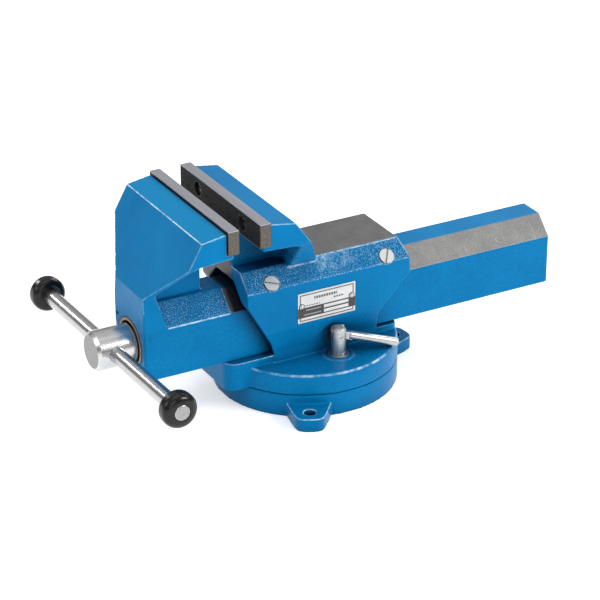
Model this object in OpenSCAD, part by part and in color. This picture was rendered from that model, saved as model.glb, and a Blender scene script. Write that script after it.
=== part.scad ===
// Swivel-base bench vise with a sliding front jaw.
// +X is the right-hand side of a person at the handle, -Y is the handle end, +Z is up.
// The origin is the centre of the base's underside, on the swivel axis.

/* [Jaws] */
// Width of the jaw plates across the vise
jaw_w = 180; // [170:1:186]
// Height of a jaw plate
plate_h = 26.2; // [24:0.1:27]
// Thickness of a jaw plate
plate_t = 12.4; // [11:0.1:13]
// Gap between the gripping faces as drawn
opening = 23.5; // [15:0.5:30]
// Height of the jaw plates' upper edge above the bench
jaw_top = 234.8; // [232:0.2:238]
// Distance from the swivel axis to the face that backs the fixed jaw plate
fixed_seat = 89.4; // [88:0.2:91]

/* [Slide] */
// Width of the slide bar
slide_w = 71.2; // [70:0.2:72]
// Height of the slide bar's underside
slide_bottom = 57.6; // [57.5:0.1:58]
// Height where the slide bar's 45 degree faces start
slide_side_top = 113.5; // [113:0.1:114]
// Height of the slide bar's narrow top face
slide_top = 134.5; // [134:0.1:135]
// Distance from the swivel axis to the rear end of the slide bar
slide_rear = 290.6; // [270:1:300]

/* [Base] */
// Diameter of the base and the swivel disc
base_d = 201.4; // [200:0.2:204]
// Height of the base casting
base_h = 25.7; // [25.4:0.1:25.8]
// Bolt circle of the three mounting lugs
bolt_circle = 234.8; // [230:0.2:238]
// Diameter of a mounting hole
bolt_hole_d = 13; // [11:0.5:14]

/* [Screw and handle] */
// Height of the lead screw's axis
screw_z = 89; // [88.6:0.1:89.4]
// Diameter of the lead screw's thread
screw_d = 28; // [26:0.5:28]
// Diameter of the lead screw's head
head_d = 43.2; // [42:0.2:44]
// Diameter of the tommy bar
bar_d = 17.2; // [15:0.2:17.6]
// Length of the tommy bar
bar_l = 340; // [300:1:360]
// How far the tommy bar is slid through the head as drawn
bar_shift = 1.75; // [-5:0.25:5]
// Tilt of the tommy bar from level as drawn, in degrees
bar_tilt = 1.6; // [0:0.1:3]

/* [Swivel locks] */
// Radius of the circle that the two lock bolts stand on
lock_r = 62.3; // [62:0.1:62.6]
// Length of a lock lever from its pin to its tip
lever_l = 69.5; // [60:0.5:71]
// Slope of a lock lever below level as drawn, in degrees
lever_drop = 17; // [15:0.5:17]

/* [Hidden] */
$fn = 96;

paint = [0.09, 0.36, 0.66];
cast_steel = [0.42, 0.42, 0.42];
bright_steel = [0.78, 0.79, 0.80];
dark_steel = [0.20, 0.20, 0.20];
zinc = [0.86, 0.87, 0.88];
bronze = [0.55, 0.43, 0.30];
black_plastic = [0.05, 0.05, 0.05];

// Gaps
eps = 0.01;
slide_gap = 0.3;
shaft_gap = 0.05;
loose_gap = 0.1;

// Levels and lengths of the castings
disc_bottom = 26;
disc_top = 49.3;
floor_z = slide_bottom - slide_gap;
anvil_z = 157.4;
anvil_half = 34.3;
body_half = 51.7;
crease_z = anvil_z - (body_half - anvil_half);
body_front = -fixed_seat - 7.5;
movable_seat = -fixed_seat - 2 * plate_t - opening;
plate_bottom = jaw_top - plate_h;
slide_half = slide_w / 2;
slide_top_half = slide_half - (slide_top - slide_side_top);
front_face = movable_seat - 70.65;
front_wall = front_face + 26.35;
shoulder_end = movable_seat + 29.2;

// Jaw heads, measured backwards from the plate's seat
ledge = 7.5;
head_half = jaw_w / 2 - 2.6;
head_low = 199.8;
web_half = 10;
fixed_web_half = 15;
pocket_r = 9;
neck_half = 38;
block_top = slide_side_top + 20;
block_rake = 5.6;
// Depth of a pocket's end wall behind the plate's seat, as [height, depth] points
fixed_pocket_walls = [[191.4, 38.9], [157, 48.6], [100, 63.9]];
movable_pocket_walls = [[191.4, 40.3], [157, 56.3], [100, 40.3]];

// Lead screw, along Y
head_front = front_face - 44.65;
bar_y = front_face - 24.35;
ring_r = 27.1;
ring_bore_r = 24;
counterbore = 12;
washer_t = 3;
head_rear = front_face + counterbore - washer_t - loose_gap;
journal_r = 15;
collar_t = 10;
collar_front = front_wall + slide_gap;
screw_end = 238;
screw_r = screw_d / 2;
head_r = head_d / 2;
bar_r = bar_d / 2;
knob_t = 20;
knob_r = 19.2;

// Spindle nut, standing on the body's floor
nut_y0 = 15;
nut_y1 = 75;
nut_half = 23;
nut_top = 112;
nut_bolt_y = [32, 58];

// Gibs, between the 45 degree faces of slide and body
slide_sum = slide_half + slide_side_top;
body_sum = slide_sum + 11.9;
gib_ledge = 44.5;
gib_spread = 12;
passage_top = 142;
gib_y0 = -78;
gib_y1 = 88;
gib_screw_y = [-66.3, 72.7];
gib_screw_r = 6;
gib_head_r = 8.3;

// Centre spigot and T-slot of the base
spigot_r = 20;
spigot_top = 40.5;
slot_wide = 11.5;
slot_neck = 6.8;
slot_floor = 8;
slot_lip = 17.2;

// Swivel locks
lock_bolt_head = 21;
lock_bolt_z = 9.2;
lock_x = lock_r * cos(6);
lock_y = lock_r * sin(6);
lock_thread_r = 6;
lock_nut_r = 8.15;
boss_top = 49.9;
lock_washer_t = 1.5;
lock_nut_z0 = boss_top + lock_washer_t + eps;
lock_nut_top = 82.3;
lever_pin_z = 74.5;
lever_pin_r = 2.5;
lever_r = 4.8;
relief_r = 24;
relief_h = 24;
fork_slot = 6.6;
lever_heading = 77.6;

// Fasteners of the jaw plates and the name plate
plate_screw_x = 50;
plate_screw_z = jaw_top - plate_h / 2;
plate_screw_r = 5;
recess_r = 8;
recess_depth = 5.4;
name_y = [-37.5, 32];
name_z = [91.5, 126];
name_t = 1;
rivet_y = [name_y[0] + 4.5, name_y[1] - 4.5];
rivet_z = name_z[0] + 19;
rivet_r = 1.5;

// Unit vector along v
function unit(v) = v / norm(v);

// Arc that rounds corner c, between neighbours p and n, with radius r
function corner(p, c, n, r, steps) =
    let (
        v1 = unit(p - c),
        v2 = unit(n - c),
        half = acos(v1 * v2) / 2,
        mid = c + unit(v1 + v2) * r / sin(half),
        s = c + v1 * r / tan(half) - mid,
        e = c + v2 * r / tan(half) - mid,
        a0 = atan2(s[1], s[0]),
        turn = atan2(s[0] * e[1] - s[1] * e[0], s * e)
    )
    [for (k = [0:steps]) mid + r * [cos(a0 + turn * k / steps), sin(a0 + turn * k / steps)]];

// Outline through points [x, y, r], with each corner rounded to its radius r
function rounded(pts, steps = 6) = [
    for (i = [0:len(pts) - 1])
        let (
            n = len(pts),
            c = [pts[i][0], pts[i][1]],
            p = [pts[(i + n - 1) % n][0], pts[(i + n - 1) % n][1]],
            q = [pts[(i + 1) % n][0], pts[(i + 1) % n][1]]
        )
        each (pts[i][2] > 0 ? corner(p, c, q, pts[i][2], steps) : [c])
];

// Right half of an outline, given from bottom to top, with its mirror image added
function both_halves(pts) = concat(
    pts, [for (i = [len(pts) - 1:-1:0]) [-pts[i][0], pts[i][1], pts[i][2]]]
);

// Extrudes an outline of (y, z) points along X
module along_x(x0, x1) {
    translate([x0, 0, 0]) rotate([90, 0, 90]) linear_extrude(x1 - x0) children();
}

// Extrudes an outline of (x, z) points along Y
module along_y(y0, y1) {
    translate([0, y1, 0]) rotate([90, 0, 0]) linear_extrude(y1 - y0) children();
}

// Round bar along Y
module bar_along_y(r, y0, y1, x = 0, z = screw_z) {
    translate([x, y0, z]) rotate([-90, 0, 0]) cylinder(h = y1 - y0, r = r);
}

// Round solid along +Z from a profile of (radius, height) points
module turned(profile) {
    rotate_extrude() polygon(profile);
}

// Solid between the two jaw heads' outer surfaces, seen from the side and from the front
module head_block(side, front) {
    intersection() {
        along_x(-head_half, head_half) polygon(rounded(side));
        along_y(-300, 100) polygon(rounded(front));
    }
}

// Hollow under a jaw head on one side of its web; dir is the way from the seat to the jaw's back
module head_pocket(seat, dir, web, side, walls) {
    near = seat - dir * 40;
    far = [for (w = walls) [seat + dir * (w[1] - pocket_r), w[0]]];
    hull()
        for (x = [web + pocket_r, 120])
            for (p = concat(far, [[near, walls[0][0] + 4.5], [near, 100]]))
                translate([side * x, p[0], p[1]]) sphere(r = pocket_r, $fn = 32);
}

// Countersunk hole for a jaw plate's screw, along Y; dir points from the gripping face into the jaw
module plate_screw_hole(face, dir) {
    for (x = [-plate_screw_x, plate_screw_x])
        translate([x, face, plate_screw_z]) rotate([-90 * dir, 0, 0]) {
            translate([0, 0, -1]) cylinder(h = plate_t + 2, r = plate_screw_r + loose_gap);
            translate([0, 0, -eps]) cylinder(h = recess_depth + eps, r = recess_r);
            translate([0, 0, recess_depth - eps])
                cylinder(h = recess_r - plate_screw_r, r1 = recess_r, r2 = plate_screw_r);
        }
}

// Blind holes in a jaw head for the two plate screws
module plate_screw_socket(seat, dir) {
    for (x = [-plate_screw_x, plate_screw_x])
        translate([x, seat, plate_screw_z]) rotate([-90 * dir, 0, 0])
            translate([0, 0, -1]) cylinder(h = 16, r = plate_screw_r + shaft_gap);
}

// Two countersunk, slotted screws that hold a jaw plate
module plate_screws(face, dir) {
    for (x = [-plate_screw_x, plate_screw_x])
        translate([x, face, plate_screw_z]) rotate([-90 * dir, 0, 0])
            difference() {
                union() {
                    translate([0, 0, recess_depth - 1]) cylinder(h = 0.95, r = recess_r - 0.15);
                    translate([0, 0, recess_depth - 0.05])
                        cylinder(h = 2.85, r1 = recess_r - 0.15, r2 = plate_screw_r);
                    translate([0, 0, recess_depth]) cylinder(h = 19, r = plate_screw_r);
                }
                translate([-12, -1, recess_depth - 2]) cube([24, 2, 2.8]);
            }
}

// Jaw plate with its gripping face at y = face
module jaw_plate(face, dir) {
    low = min(face, face + dir * plate_t);
    color(dark_steel)
        difference() {
            translate([-jaw_w / 2, low, plate_bottom]) cube([jaw_w, plate_t, plate_h]);
            plate_screw_hole(face, dir);
        }
}

// Mounting lugs, with their outline in plan, pointing along +X
lug_angles = [-26.5, 93.5, 213.5];
lug_h = 15;
lug_tip = bolt_circle / 2 + 16.3;
lug_outline = rounded([
    [80, -46, 0], [97, -24, 9], [lug_tip - 14, -18, 5], [lug_tip, -13, 11],
    [lug_tip, 13, 11], [lug_tip - 14, 18, 5], [97, 24, 9], [80, 46, 0]
]);

// Bolt-down base: round plate with three lugs, a T-slot ring and a centre spigot
module base_plate() {
    color(paint)
        difference() {
            union() {
                turned(rounded([
                    [0, 0, 0], [base_d / 2, 0, 0], [base_d / 2, base_h, 1.5],
                    [spigot_r, base_h, 0], [spigot_r, spigot_top, 1.5], [0, spigot_top, 0]
                ]));
                for (a = lug_angles)
                    rotate([0, 0, a]) linear_extrude(lug_h) polygon(lug_outline);
            }
            rotate_extrude()
                polygon([
                    [lock_r - slot_wide, slot_floor], [lock_r + slot_wide, slot_floor],
                    [lock_r + slot_wide, slot_lip], [lock_r + slot_neck, slot_lip],
                    [lock_r + slot_neck, base_h + 1], [lock_r - slot_neck, base_h + 1],
                    [lock_r - slot_neck, slot_lip], [lock_r - slot_wide, slot_lip]
                ]);
            translate([0, -lock_r, -1]) cylinder(h = slot_floor + 2, r = slot_wide - 0.1);
            for (a = lug_angles)
                rotate([0, 0, a]) translate([bolt_circle / 2, 0, -1])
                    cylinder(h = lug_h + 2, d = bolt_hole_d);
        }
}

// Passage through the body: slide clearance below, room for the gibs above
passage = both_halves([
    [slide_half + slide_gap, floor_z, 0], [slide_half + slide_gap, body_sum - gib_ledge, 0],
    [gib_ledge, body_sum - gib_ledge, 0], [body_sum - passage_top, passage_top, 3]
]);

// Side view of the body's housing around the slide
housing_side = [
    [body_front, anvil_z, 0], [body_front, 124, 10], [-67, 73, 12], [-63, 60, 0], [-63, 40, 0],
    [62.5, 40, 0], [62.5, 81, 12], [101, 121, 8], [100, 138, 10], [94, anvil_z, 3]
];

// Cross-section of the housing
housing_section = both_halves([
    [47, 40, 0], [47, 62, 20], [body_half, 88, 20], [body_half, crease_z, 3],
    [anvil_half, anvil_z, 1.5]
]);

// Fixed jaw's back, buttress and web, as seen from the side, before the pockets are taken out
fixed_head_side = [
    [-fixed_seat, jaw_top - 3, 1], [-fixed_seat + 30.9, 226.7, 2], [-fixed_seat + 50, head_low, 2],
    [-fixed_seat + 82, anvil_z - 3, 0], [body_front, anvil_z - 3, 0],
    [body_front, 206, 1.5], [-fixed_seat - ledge + 1.5, plate_bottom - 0.1, 0],
    [-fixed_seat, plate_bottom - 0.1, 0]
];
fixed_head_front = both_halves([
    [neck_half, 150, 0], [neck_half, anvil_z - 3.7, 0], [head_half, head_low, 2],
    [head_half, 240, 0]
]);

// Body casting: swivel disc, housing for the slide, anvil and fixed jaw
module fixed_jaw_body() {
    color(paint)
        difference() {
            union() {
                difference() {
                    head_block(fixed_head_side, fixed_head_front);
                    for (side = [-1, 1])
                        head_pocket(-fixed_seat, 1, fixed_web_half, side, fixed_pocket_walls);
                }
                intersection() {
                    along_x(-body_half - 1, body_half + 1) polygon(rounded(housing_side));
                    along_y(-130, 130) polygon(rounded(housing_section));
                }
                turned(rounded([
                    [0, disc_bottom, 0], [base_d / 2, disc_bottom, 1], [base_d / 2, disc_top, 4],
                    [0, disc_top, 0]
                ]));
                front_foot();
                rear_foot();
                for (side = [-1, 1])
                    translate([side * lock_x, lock_y, disc_top - 1])
                        cylinder(h = boss_top - disc_top + 1, r1 = 18, r2 = 16.5);
            }
            along_y(-140, 130) polygon(rounded(passage));
            translate([0, 0, disc_bottom - 1])
                cylinder(h = spigot_top + 1.5 - disc_bottom, r = spigot_r + shaft_gap);
            plate_screw_socket(-fixed_seat, 1);
            for (side = [-1, 1]) {
                lock_relief(side);
                translate([side * lock_x, lock_y, disc_bottom - 1])
                    cylinder(h = 30, r = lock_thread_r + 0.5);
                for (y = gib_screw_y) gib_screw_hole(side, y);
            }
            name_plate_studs(rivet_r + shaft_gap, body_half - 6, 8);
            for (y = nut_bolt_y) translate([0, y, 0]) {
                translate([0, 0, disc_bottom - 1]) cylinder(h = 14, r = 10);
                cylinder(h = 60, r = 6 + shaft_gap);
            }
        }
}

// Nose of the body under the slide, at the handle end
module front_foot() {
    translate([0, 0, disc_bottom])
        linear_extrude(floor_z - disc_bottom)
            polygon(rounded([
                [-45, -40, 0], [-45, -117, 14], [45, -117, 14], [45, -40, 0]
            ]));
}

// Foot of the body under the slide, at the rear
module rear_foot() {
    translate([0, 0, disc_bottom])
        linear_extrude(floor_z - disc_bottom - 1.6)
            polygon(rounded([
                [-39, 40, 0], [39, 40, 0], [39, 94, 8], [-39, 94, 8]
            ]));
}

// Room around a lock nut in the side of the housing
module lock_relief(side) {
    translate([side * (lock_x + 7), lock_y, boss_top]) {
        cylinder(h = relief_h, r = relief_r);
        translate([0, 0, relief_h - eps]) cylinder(h = 14, r1 = relief_r, r2 = relief_r - 10);
    }
}

// Frame whose +Z points out of a 45 degree shoulder, at a gib screw's seat
module at_shoulder(side, y) {
    x = 47.9;
    mirror([side < 0 ? 1 : 0, 0, 0])
        translate([x, y, anvil_half + anvil_z - x]) rotate([0, 45, 0]) children();
}

// Counterbored hole for one gib screw
module gib_screw_hole(side, y) {
    at_shoulder(side, y) {
        translate([0, 0, -30]) cylinder(h = 32, r = gib_screw_r + shaft_gap);
        translate([0, 0, -3]) cylinder(h = 6, r = gib_head_r + 0.4);
    }
}

// Four slotted screws that press the gibs against the slide
module gib_screws() {
    wall = (anvil_half + anvil_z - body_sum) / sqrt(2);
    slots = [[1, 0, 69], [1, 1, -29], [-1, 0, 20], [-1, 1, 70]];
    color(zinc)
        for (s = slots)
            at_shoulder(s[0], gib_screw_y[s[1]])
                difference() {
                    union() {
                        translate([0, 0, -wall - 0.1])
                            cylinder(h = wall - 2.5, r = gib_screw_r);
                        translate([0, 0, -3 + eps]) cylinder(h = 4, r = gib_head_r);
                    }
                    rotate([0, 0, s[2]]) translate([-10, -1.1, -0.8]) cube([20, 2.2, 3]);
                }
}

// Flat gib between the slide's and the body's 45 degree faces
module gib(side) {
    inner = slide_sum + 0.3;
    outer = body_sum - 0.3;
    color(cast_steel)
        mirror([side < 0 ? 1 : 0, 0, 0])
            along_y(gib_y0, gib_y1)
                polygon([
                    gib_point(inner, -gib_spread), gib_point(inner, gib_spread),
                    gib_point(outer, gib_spread), gib_point(outer, -gib_spread)
                ]);
}

// Point of the gib's section on the 45 degree plane x + z = sum, at distance t along it
function gib_point(sum, t) =
    let (mid = (slide_half + slide_top_half) / 2 + (sum - slide_sum) / 2)
    [mid + t / sqrt(2), sum - mid - t / sqrt(2)];

// Section of the slide bar
slide_section = both_halves([
    [slide_half, slide_bottom, 0.6], [slide_half, slide_side_top, 0.4],
    [slide_top_half, slide_top, 0.4]
]);

// Section of the unmachined shoulder behind the front jaw
shoulder_lift = 2.1;
shoulder_section = both_halves([
    [slide_half, slide_bottom, 0.6], [slide_half, slide_side_top, 1],
    [slide_half - 0.9, slide_side_top + 0.9 + shoulder_lift, 2],
    [slide_top_half, slide_top + shoulder_lift, 2]
]);

// Inside of the slide: a channel open underneath and at the rear
channel = both_halves([[26, 40, 0], [26, 100, 4], [14, 116, 4]]);

// Front jaw's face, buttress and web, as seen from the side, before the pockets are taken out
movable_head_side = [
    [movable_seat, jaw_top - 3, 1], [movable_seat, plate_bottom - 0.1, 0],
    [movable_seat + ledge - 1.5, plate_bottom - 0.1, 0], [movable_seat + ledge, 206, 1.5],
    [movable_seat + ledge, 120, 0], [front_face, 100, 0], [front_face, 151.4, 2],
    [movable_seat - 43.8, head_low, 0], [movable_seat - 28.3, 227.2, 1.5]
];
movable_head_front = both_halves([
    [slide_half, 100, 0], [slide_half, block_top, 0], [32.9, 151.4, 3],
    [head_half, head_low, 2], [head_half, 240, 0]
]);

// Front jaw casting: head, buttress, web and slide bar in one piece
module movable_jaw() {
    color(paint)
        difference() {
            union() {
                difference() {
                    head_block(movable_head_side, movable_head_front);
                    for (side = [-1, 1])
                        head_pocket(movable_seat, -1, web_half, side, movable_pocket_walls);
                }
                along_y(front_wall - block_rake, shoulder_end) polygon(rounded(shoulder_section));
                along_y(front_wall, slide_rear) polygon(rounded(slide_section));
                front_block();
            }
            along_y(front_wall, slide_rear + 1) polygon(rounded(channel));
            bar_along_y(journal_r + shaft_gap, front_face - 1, front_wall + 1);
            bar_along_y(ring_r + shaft_gap, front_face - 1, front_face + counterbore);
            bar_along_y(2.6, front_face - 1, front_face + 18, x = -29.5, z = 110);
            plate_screw_socket(movable_seat, -1);
        }
}

// Outline of the slide's front end from above, as far back as y1
module block_outline(y1) {
    polygon(rounded([
        [-slide_half, y1, 0], [-slide_half, front_face, 3],
        [slide_half, front_face, 3], [slide_half, y1, 0]
    ]));
}

// Front end of the slide, which carries the lead screw; its rear leans forward above the slide's sides
module front_block() {
    translate([0, 0, slide_bottom])
        linear_extrude(slide_side_top - slide_bottom) block_outline(front_wall);
    hull() {
        translate([0, 0, slide_side_top - 1]) linear_extrude(1) block_outline(front_wall);
        translate([0, 0, block_top - 1]) linear_extrude(1) block_outline(front_wall - block_rake);
    }
}

// Bronze ring let into the front face around the screw's head
module front_ring() {
    color(bronze)
        difference() {
            bar_along_y(ring_r, front_face - 0.4, front_face + counterbore);
            bar_along_y(ring_bore_r, front_face - 1, front_face + counterbore + 1);
        }
}

// Washer that takes the closing force of the screw's head
module thrust_washer() {
    y0 = front_face + counterbore - washer_t;
    color(bright_steel)
        difference() {
            bar_along_y(ring_bore_r - 0.5, y0, y0 + washer_t);
            bar_along_y(journal_r + shaft_gap, y0 - 1, y0 + washer_t + 1);
        }
}

// Lead screw: head with the tommy bar's hole, journal, and threaded length as its outer cylinder
module lead_screw() {
    color(bright_steel)
        difference() {
            union() {
                translate([0, head_front, screw_z]) rotate([-90, 0, 0])
                    turned([
                        [0, 0], [head_r - 3.5, 0], [head_r, 3.5], [head_r, head_rear - head_front - 1],
                        [head_r - 1, head_rear - head_front], [0, head_rear - head_front]
                    ]);
                bar_along_y(journal_r - shaft_gap, head_rear - 1, collar_front + collar_t);
                translate([0, collar_front + collar_t - 1, screw_z]) rotate([-90, 0, 0])
                    turned([
                        [0, 0], [screw_r, 0],
                        [screw_r, screw_end - collar_front - collar_t - 1],
                        [screw_r - 2, screw_end - collar_front - collar_t + 1],
                        [0, screw_end - collar_front - collar_t + 1]
                    ]);
            }
            translate([0, bar_y, screw_z]) rotate([0, 90 - bar_tilt, 0])
                cylinder(h = 60, r = bar_r + loose_gap, center = true);
            collar_pin_hole();
        }
}

// Cross hole through collar and journal
module collar_pin_hole() {
    translate([0, collar_front + collar_t / 2, screw_z])
        cylinder(h = 60, r = 2.5 + shaft_gap, center = true);
}

// Collar pinned to the screw behind the front jaw's wall, which pulls the jaw open
module screw_collar() {
    color(bright_steel)
        difference() {
            bar_along_y(22, collar_front, collar_front + collar_t);
            bar_along_y(journal_r, collar_front - 1, collar_front + collar_t + 1);
            collar_pin_hole();
        }
}

// Pin through collar and screw
module collar_pin() {
    color(dark_steel)
        translate([0, collar_front + collar_t / 2, screw_z])
            cylinder(h = 42, r = 2.5, center = true);
}

// Frame with +Z along the tommy bar and its origin at the middle of the bar
module at_bar() {
    translate([0, bar_y, screw_z]) rotate([0, 90 - bar_tilt, 0])
        translate([0, 0, bar_shift]) children();
}

// Tommy bar
module tommy_bar() {
    color(bright_steel)
        at_bar() translate([0, 0, -bar_l / 2])
            turned([
                [0, 0], [bar_r - 1, 0], [bar_r, 1], [bar_r, bar_l - 1], [bar_r - 1, bar_l], [0, bar_l]
            ]);
}

// Rounded knob on one end of the tommy bar
module tommy_knob(side) {
    color(black_plastic)
        at_bar() mirror([0, 0, side < 0 ? 1 : 0]) translate([0, 0, bar_l / 2 - knob_t - 0.5])
            rotate_extrude()
                polygon(rounded([
                    [bar_r + eps, 0, 0], [12.5, 0, 0], [knob_r, 1, 6.5], [knob_r, knob_t - 2, 8],
                    [11, knob_t, 2], [bar_r + eps, knob_t, 0]
                ]));
}

// Nut for the lead screw, bolted to the body's floor inside the slide's channel
module spindle_nut() {
    color(cast_steel)
        difference() {
            along_y(nut_y0, nut_y1)
                polygon(rounded(both_halves([
                    [nut_half, floor_z, 0], [nut_half, 98, 4], [12, nut_top, 4]
                ])));
            bar_along_y(screw_r + shaft_gap, nut_y0 - 1, nut_y1 + 1);
            for (y = nut_bolt_y) translate([0, y, floor_z - 1])
                cylinder(h = 13.5, r = 6 + shaft_gap);
        }
}

// Two socket-head bolts from below that hold the nut
module spindle_nut_bolts() {
    color(dark_steel)
        for (y = nut_bolt_y) translate([0, y, 0])
            difference() {
                union() {
                    translate([0, 0, disc_bottom + 0.5]) cylinder(h = 12.5, r = 9);
                    translate([0, 0, disc_bottom + 12]) cylinder(h = floor_z + 11 - disc_bottom - 12, r = 6);
                }
                translate([0, 0, disc_bottom]) cylinder(h = 7, r = 5.7, $fn = 6);
            }
}

// Name plate on the right-hand side of the body
module name_plate() {
    color(zinc)
        difference() {
            translate([body_half + eps, 0, 0])
                along_x(0, name_t)
                    polygon(rounded([
                        [name_y[0], name_z[0], 0.8], [name_y[1], name_z[0], 0.8],
                        [name_y[1], name_z[1], 0.8], [name_y[0], name_z[1], 0.8]
                    ]));
            name_plate_studs(rivet_r + shaft_gap, body_half - 1, 3);
        }
}

// Round studs at the two rivet positions
module name_plate_studs(r, x0, h) {
    for (y = rivet_y)
        translate([x0, y, rivet_z]) rotate([0, 90, 0]) cylinder(h = h, r = r);
}

// Two domed rivets that hold the name plate
module name_plate_rivets() {
    color(zinc)
        for (y = rivet_y)
            translate([body_half - 5.5, y, rivet_z]) rotate([0, 90, 0])
                turned(rounded([
                    [0, 0, 0], [rivet_r, 0, 0], [rivet_r, 6.55, 0], [2.9, 6.55, 0],
                    [2.9, 7.2, 0.4], [1.2, 8, 1], [0, 8, 0]
                ]));
}

// Frame of one swivel lock: origin on its axis at the bench, +X away from the body
module at_lock(side) {
    mirror([side < 0 ? 1 : 0, 0, 0]) translate([lock_x, lock_y, 0]) children();
}

// T-bolt that hangs in the base's T-slot
module lock_bolt(side) {
    color(dark_steel)
        rotate([0, 0, side > 0 ? 6 : 174]) translate([lock_r, 0, 0]) {
            translate([-lock_bolt_head / 2, -lock_bolt_head / 2, lock_bolt_z])
                cube([lock_bolt_head, lock_bolt_head, slot_lip - loose_gap - lock_bolt_z]);
            translate([0, 0, lock_bolt_z]) cylinder(h = 64 - lock_bolt_z, r = lock_thread_r);
        }
}

// Washers under the two lock nuts
module lock_washers() {
    color(zinc)
        for (side = [-1, 1])
            at_lock(side) translate([0, 0, boss_top + eps])
                difference() {
                    cylinder(h = lock_washer_t - eps, r = 11.3);
                    translate([0, 0, -1]) cylinder(h = 4, r = lock_thread_r + 0.4);
                }
}

// Direction of a lever in plan, in the mirrored frame of its lock
function heading(side) = side > 0 ? lever_heading : -lever_heading;

// Tall clamping nut with a fork at its top
module lock_nut(side) {
    color(zinc)
        at_lock(side)
            difference() {
                translate([0, 0, lock_nut_z0])
                    turned(rounded([
                        [0, 0, 0], [lock_nut_r, 0, 0.5],
                        [lock_nut_r, lock_nut_top - lock_nut_z0, 2],
                        [0, lock_nut_top - lock_nut_z0, 0]
                    ]));
                translate([0, 0, lock_nut_z0 - 1]) cylinder(h = 14, r = lock_thread_r + shaft_gap);
                rotate([0, 0, heading(side)])
                    translate([-12, -fork_slot / 2, 67]) cube([24, fork_slot, 20]);
                lever_pin_hole(side);
            }
}

// Cross hole for the lever's pin
module lever_pin_hole(side) {
    rotate([0, 0, heading(side)]) translate([0, 0, lever_pin_z]) rotate([90, 0, 0])
        cylinder(h = 30, r = lever_pin_r + shaft_gap, center = true);
}

// Pin that the lever swings on
module lock_pin(side) {
    color(zinc)
        at_lock(side) rotate([0, 0, heading(side)]) translate([0, 0, lever_pin_z])
            rotate([90, 0, 0]) cylinder(h = 15, r = lever_pin_r, center = true);
}

// Folding lever: flat eye in the fork, then a round bar
module lock_lever(side) {
    neck = 16;
    color(zinc)
        at_lock(side) rotate([0, 0, heading(side)]) translate([0, 0, lever_pin_z])
            rotate([0, lever_drop, 0])
                difference() {
                    union() {
                        rotate([90, 0, 0]) cylinder(h = fork_slot - 0.3, r = 6, center = true);
                        translate([0, -fork_slot / 2 + 0.15, -4.2]) cube([neck, fork_slot - 0.3, 8.4]);
                        translate([12, 0, 0]) rotate([0, 90, 0])
                            turned(rounded([
                                [0, 0, 0], [lever_r - 0.6, 0, 0.4], [lever_r, 1.2, 0.4],
                                [lever_r, lever_l - 12, 2], [0, lever_l - 12, 0]
                            ]));
                    }
                    rotate([90, 0, 0])
                        cylinder(h = 20, r = lever_pin_r + shaft_gap, center = true);
                }
}

// Screws of the jaw plates
module fixed_plate_screws() {
    color(zinc) plate_screws(-fixed_seat - plate_t, 1);
}

module movable_plate_screws() {
    color(zinc) plate_screws(movable_seat + plate_t, -1);
}

base_plate();
fixed_jaw_body();
jaw_plate(-fixed_seat - plate_t, 1);  // fixed_jaw_plate
fixed_plate_screws();
spindle_nut();
spindle_nut_bolts();
gib(1);  // gib_right
gib(-1);  // gib_left
gib_screws();
name_plate();
name_plate_rivets();
lock_bolt(1);  // lock_bolt_right
lock_bolt(-1);  // lock_bolt_left
lock_washers();
lock_nut(1);  // lock_nut_right
lock_nut(-1);  // lock_nut_left
lock_pin(1);  // lock_pin_right
lock_pin(-1);  // lock_pin_left
lock_lever(1);  // lock_lever_right
lock_lever(-1);  // lock_lever_left
movable_jaw();
jaw_plate(movable_seat + plate_t, -1);  // movable_jaw_plate
movable_plate_screws();
front_ring();
thrust_washer();
lead_screw();
screw_collar();
collar_pin();
tommy_bar();
tommy_knob(1);  // tommy_knob_right
tommy_knob(-1);  // tommy_knob_left
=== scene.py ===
"""Looks of the bench vise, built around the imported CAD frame."""

import math

import bmesh
import bpy
from mathutils import Matrix, Vector
from mathutils.bvhtree import BVHTree
from mathutils.kdtree import KDTree


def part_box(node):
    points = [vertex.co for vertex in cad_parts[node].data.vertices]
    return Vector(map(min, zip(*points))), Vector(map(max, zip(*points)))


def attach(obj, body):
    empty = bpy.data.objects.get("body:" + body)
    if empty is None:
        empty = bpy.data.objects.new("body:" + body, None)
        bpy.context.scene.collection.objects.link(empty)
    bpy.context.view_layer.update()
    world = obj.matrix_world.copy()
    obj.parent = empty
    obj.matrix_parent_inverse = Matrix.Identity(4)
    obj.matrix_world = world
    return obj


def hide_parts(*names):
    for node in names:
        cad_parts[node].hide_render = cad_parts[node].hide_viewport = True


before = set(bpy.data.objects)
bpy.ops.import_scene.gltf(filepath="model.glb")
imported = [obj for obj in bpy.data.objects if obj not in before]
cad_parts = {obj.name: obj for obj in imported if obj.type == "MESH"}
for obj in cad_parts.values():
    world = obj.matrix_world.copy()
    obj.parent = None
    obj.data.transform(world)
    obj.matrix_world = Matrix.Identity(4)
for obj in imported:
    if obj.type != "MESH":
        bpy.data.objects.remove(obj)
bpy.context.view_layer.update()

MM = 0.001
CREVICE_SAMPLES = 6


# ---------------------------------------------------------------- materials


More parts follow.
